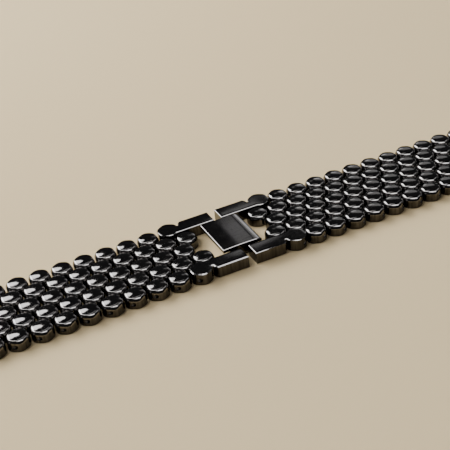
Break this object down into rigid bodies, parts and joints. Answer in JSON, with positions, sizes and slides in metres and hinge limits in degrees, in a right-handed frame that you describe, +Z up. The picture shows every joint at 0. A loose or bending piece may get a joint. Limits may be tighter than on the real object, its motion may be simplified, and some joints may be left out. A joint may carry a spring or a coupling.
{
  "type": "fish scale watch band",
  "caption": "Metal watch band of domed six-sided scales on hinged links, with a fold-over clasp and spring bars at its watch ends.",
  "frame": {"origin": "centre of the whole band's underside, below the middle of the clasp", "axes": "+X along the band towards the half that carries the cover's hinge, +Y across it, +Z up from the underside to the domes"},
  "size_m": [0.161, 0.022, 0.0028],
  "materials": {
    "plated_steel": "polished black plating",
    "pin_steel": "dark satin",
    "spring_steel": "bright"
  },
  "bodies": {
    "right_frame": {"right_frame": "plated_steel", "hinge_pin": "pin_steel", "right_frame_pin": "pin_steel"},
    "cover": {"cover_plate": "plated_steel"},
    "latch_bar": {"latch_bar": "pin_steel"},
    "left_frame": {"left_frame": "plated_steel", "left_frame_pin": "pin_steel"},
    "left_link_01": {"left_link_01": "plated_steel", "left_link_pin_01": "pin_steel"},
    "left_link_02": {"left_link_02": "plated_steel", "left_link_pin_02": "pin_steel"},
    "left_link_03": {"left_link_03": "plated_steel", "left_link_pin_03": "pin_steel"},
    "left_link_04": {"left_link_04": "plated_steel", "left_link_pin_04": "pin_steel"},
    "left_link_05": {"left_link_05": "plated_steel", "left_link_pin_05": "pin_steel"},
    "left_link_06": {"left_link_06": "plated_steel", "left_link_pin_06": "pin_steel"},
    "left_link_07": {"left_link_07": "plated_steel", "left_link_pin_07": "pin_steel"},
    "left_link_08": {"left_link_08": "plated_steel"},
    "left_link_09": {"left_link_09": "plated_steel"},
    "left_link_10": {"left_link_10": "plated_steel"},
    "left_link_11": {"left_link_11": "plated_steel"},
    "left_link_12": {"left_link_12": "plated_steel"},
    "left_link_13": {"left_link_13": "plated_steel"},
    "left_link_14": {"left_link_14": "plated_steel"},
    "left_end_piece": {"left_end_piece": "plated_steel"},
    "left_spring_bar": {"left_spring_bar_tube": "spring_steel", "left_spring_bar_coil": "spring_steel"},
    "left_spring_bar_front_tip": {"left_spring_bar_front_tip": "spring_steel"},
    "left_spring_bar_back_tip": {"left_spring_bar_back_tip": "spring_steel"},
    "right_link_01": {"right_link_01": "plated_steel", "right_link_pin_01": "pin_steel"},
    "right_link_02": {"right_link_02": "plated_steel", "right_link_pin_02": "pin_steel"},
    "right_link_03": {"right_link_03": "plated_steel", "right_link_pin_03": "pin_steel"},
    "right_link_04": {"right_link_04": "plated_steel", "right_link_pin_04": "pin_steel"},
    "right_link_05": {"right_link_05": "plated_steel", "right_link_pin_05": "pin_steel"},
    "right_link_06": {"right_link_06": "plated_steel", "right_link_pin_06": "pin_steel"},
    "right_link_07": {"right_link_07": "plated_steel", "right_link_pin_07": "pin_steel"},
    "right_link_08": {"right_link_08": "plated_steel"},
    "right_link_09": {"right_link_09": "plated_steel"},
    "right_link_10": {"right_link_10": "plated_steel"},
    "right_link_11": {"right_link_11": "plated_steel"},
    "right_link_12": {"right_link_12": "plated_steel"},
    "right_link_13": {"right_link_13": "plated_steel"},
    "right_link_14": {"right_link_14": "plated_steel"},
    "right_end_piece": {"right_end_piece": "plated_steel"},
    "right_spring_bar": {"right_spring_bar_tube": "spring_steel", "right_spring_bar_coil": "spring_steel"},
    "right_spring_bar_front_tip": {"right_spring_bar_front_tip": "spring_steel"},
    "right_spring_bar_back_tip": {"right_spring_bar_back_tip": "spring_steel"}
  },
  "joints": [
    {"name": "cover_hinge", "type": "hinge", "parent": "right_frame", "child": "cover", "pos_m": [0.00175, 0, 0.0011], "axis": [0, 1, 0], "range_deg": [0, 120]},
    {"name": "latch_release", "type": "slide", "parent": "right_frame", "child": "latch_bar", "axis": [0, 0, -1], "range_m": [0, 0.003]},
    {"name": "left_frame_hinge", "type": "hinge", "parent": "latch_bar", "child": "left_frame", "pos_m": [-0.00175, 0, 0.0011], "axis": [0, -1, 0], "range_deg": [-10, 12]},
    {"name": "left_link_01_hinge", "type": "hinge", "parent": "left_frame", "child": "left_link_01", "pos_m": [-0.011, 0, 0.0011], "axis": [0, -1, 0], "range_deg": [-8, 12]},
    {"name": "left_link_02_hinge", "type": "hinge", "parent": "left_link_01", "child": "left_link_02", "pos_m": [-0.0154, 0, 0.0011], "axis": [0, -1, 0], "range_deg": [-8, 12]},
    {"name": "left_link_03_hinge", "type": "hinge", "parent": "left_link_02", "child": "left_link_03", "pos_m": [-0.0198, 0, 0.0011], "axis": [0, -1, 0], "range_deg": [-8, 12]},
    {"name": "left_link_04_hinge", "type": "hinge", "parent": "left_link_03", "child": "left_link_04", "pos_m": [-0.0242, 0, 0.0011], "axis": [0, -1, 0], "range_deg": [-8, 12]},
    {"name": "left_link_05_hinge", "type": "hinge", "parent": "left_link_04", "child": "left_link_05", "pos_m": [-0.0286, 0, 0.0011], "axis": [0, -1, 0], "range_deg": [-8, 12]},
    {"name": "left_link_06_hinge", "type": "hinge", "parent": "left_link_05", "child": "left_link_06", "pos_m": [-0.033, 0, 0.0011], "axis": [0, -1, 0], "range_deg": [-8, 12]},
    {"name": "left_link_07_hinge", "type": "hinge", "parent": "left_link_06", "child": "left_link_07", "pos_m": [-0.0374, 0, 0.0011], "axis": [0, -1, 0], "range_deg": [-8, 12]},
    {"name": "left_link_08_hinge", "type": "hinge", "parent": "left_link_07", "child": "left_link_08", "pos_m": [-0.0418, 0, 0.0011], "axis": [0, -1, 0], "range_deg": [-8, 12]},
    {"name": "left_link_09_hinge", "type": "hinge", "parent": "left_link_08", "child": "left_link_09", "pos_m": [-0.0462, 0, 0.0011], "axis": [0, -1, 0], "range_deg": [-8, 12]},
    {"name": "left_link_10_hinge", "type": "hinge", "parent": "left_link_09", "child": "left_link_10", "pos_m": [-0.0506, 0, 0.0011], "axis": [0, -1, 0], "range_deg": [-8, 12]},
    {"name": "left_link_11_hinge", "type": "hinge", "parent": "left_link_10", "child": "left_link_11", "pos_m": [-0.055, 0, 0.0011], "axis": [0, -1, 0], "range_deg": [-8, 12]},
    {"name": "left_link_12_hinge", "type": "hinge", "parent": "left_link_11", "child": "left_link_12", "pos_m": [-0.0594, 0, 0.0011], "axis": [0, -1, 0], "range_deg": [-8, 12]},
    {"name": "left_link_13_hinge", "type": "hinge", "parent": "left_link_12", "child": "left_link_13", "pos_m": [-0.0638, 0, 0.0011], "axis": [0, -1, 0], "range_deg": [-8, 12]},
    {"name": "left_link_14_hinge", "type": "hinge", "parent": "left_link_13", "child": "left_link_14", "pos_m": [-0.0682, 0, 0.0011], "axis": [0, -1, 0], "range_deg": [-8, 12]},
    {"name": "left_end_piece_hinge", "type": "hinge", "parent": "left_link_14", "child": "left_end_piece", "pos_m": [-0.0726, 0, 0.0011], "axis": [0, -1, 0], "range_deg": [-8, 12]},
    {"name": "left_spring_bar_spin", "type": "hinge", "parent": "left_end_piece", "child": "left_spring_bar", "pos_m": [-0.0792, 0, 0.00128], "axis": [0, 1, 0], "continuous": true},
    {"name": "left_spring_bar_front_tip_slide", "type": "slide", "parent": "left_spring_bar", "child": "left_spring_bar_front_tip", "axis": [0, 1, 0], "range_m": [0, 0.0012], "stiffness_N_per_m": 800, "springref_m": -0.001, "deforming": ["left_spring_bar_coil"]},
    {"name": "left_spring_bar_back_tip_slide", "type": "slide", "parent": "left_spring_bar", "child": "left_spring_bar_back_tip", "axis": [0, -1, 0], "range_m": [0, 0.0012], "stiffness_N_per_m": 800, "springref_m": -0.001, "deforming": ["left_spring_bar_coil"]},
    {"name": "right_link_01_hinge", "type": "hinge", "parent": "right_frame", "child": "right_link_01", "pos_m": [0.011, 0, 0.0011], "axis": [0, 1, 0], "range_deg": [-8, 12]},
    {"name": "right_link_02_hinge", "type": "hinge", "parent": "right_link_01", "child": "right_link_02", "pos_m": [0.0154, 0, 0.0011], "axis": [0, 1, 0], "range_deg": [-8, 12]},
    {"name": "right_link_03_hinge", "type": "hinge", "parent": "right_link_02", "child": "right_link_03", "pos_m": [0.0198, 0, 0.0011], "axis": [0, 1, 0], "range_deg": [-8, 12]},
    {"name": "right_link_04_hinge", "type": "hinge", "parent": "right_link_03", "child": "right_link_04", "pos_m": [0.0242, 0, 0.0011], "axis": [0, 1, 0], "range_deg": [-8, 12]},
    {"name": "right_link_05_hinge", "type": "hinge", "parent": "right_link_04", "child": "right_link_05", "pos_m": [0.0286, 0, 0.0011], "axis": [0, 1, 0], "range_deg": [-8, 12]},
    {"name": "right_link_06_hinge", "type": "hinge", "parent": "right_link_05", "child": "right_link_06", "pos_m": [0.033, 0, 0.0011], "axis": [0, 1, 0], "range_deg": [-8, 12]},
    {"name": "right_link_07_hinge", "type": "hinge", "parent": "right_link_06", "child": "right_link_07", "pos_m": [0.0374, 0, 0.0011], "axis": [0, 1, 0], "range_deg": [-8, 12]},
    {"name": "right_link_08_hinge", "type": "hinge", "parent": "right_link_07", "child": "right_link_08", "pos_m": [0.0418, 0, 0.0011], "axis": [0, 1, 0], "range_deg": [-8, 12]},
    {"name": "right_link_09_hinge", "type": "hinge", "parent": "right_link_08", "child": "right_link_09", "pos_m": [0.0462, 0, 0.0011], "axis": [0, 1, 0], "range_deg": [-8, 12]},
    {"name": "right_link_10_hinge", "type": "hinge", "parent": "right_link_09", "child": "right_link_10", "pos_m": [0.0506, 0, 0.0011], "axis": [0, 1, 0], "range_deg": [-8, 12]},
    {"name": "right_link_11_hinge", "type": "hinge", "parent": "right_link_10", "child": "right_link_11", "pos_m": [0.055, 0, 0.0011], "axis": [0, 1, 0], "range_deg": [-8, 12]},
    {"name": "right_link_12_hinge", "type": "hinge", "parent": "right_link_11", "child": "right_link_12", "pos_m": [0.0594, 0, 0.0011], "axis": [0, 1, 0], "range_deg": [-8, 12]},
    {"name": "right_link_13_hinge", "type": "hinge", "parent": "right_link_12", "child": "right_link_13", "pos_m": [0.0638, 0, 0.0011], "axis": [0, 1, 0], "range_deg": [-8, 12]},
    {"name": "right_link_14_hinge", "type": "hinge", "parent": "right_link_13", "child": "right_link_14", "pos_m": [0.0682, 0, 0.0011], "axis": [0, 1, 0], "range_deg": [-8, 12]},
    {"name": "right_end_piece_hinge", "type": "hinge", "parent": "right_link_14", "child": "right_end_piece", "pos_m": [0.0726, 0, 0.0011], "axis": [0, 1, 0], "range_deg": [-8, 12]},
    {"name": "right_spring_bar_spin", "type": "hinge", "parent": "right_end_piece", "child": "right_spring_bar", "pos_m": [0.0792, 0, 0.00128], "axis": [0, 1, 0], "continuous": true},
    {"name": "right_spring_bar_front_tip_slide", "type": "slide", "parent": "right_spring_bar", "child": "right_spring_bar_front_tip", "axis": [0, 1, 0], "range_m": [0, 0.0012], "stiffness_N_per_m": 800, "springref_m": -0.001, "deforming": ["right_spring_bar_coil"]},
    {"name": "right_spring_bar_back_tip_slide", "type": "slide", "parent": "right_spring_bar", "child": "right_spring_bar_back_tip", "axis": [0, -1, 0], "range_m": [0, 0.0012], "stiffness_N_per_m": 800, "springref_m": -0.001, "deforming": ["right_spring_bar_coil"]}
  ]
}
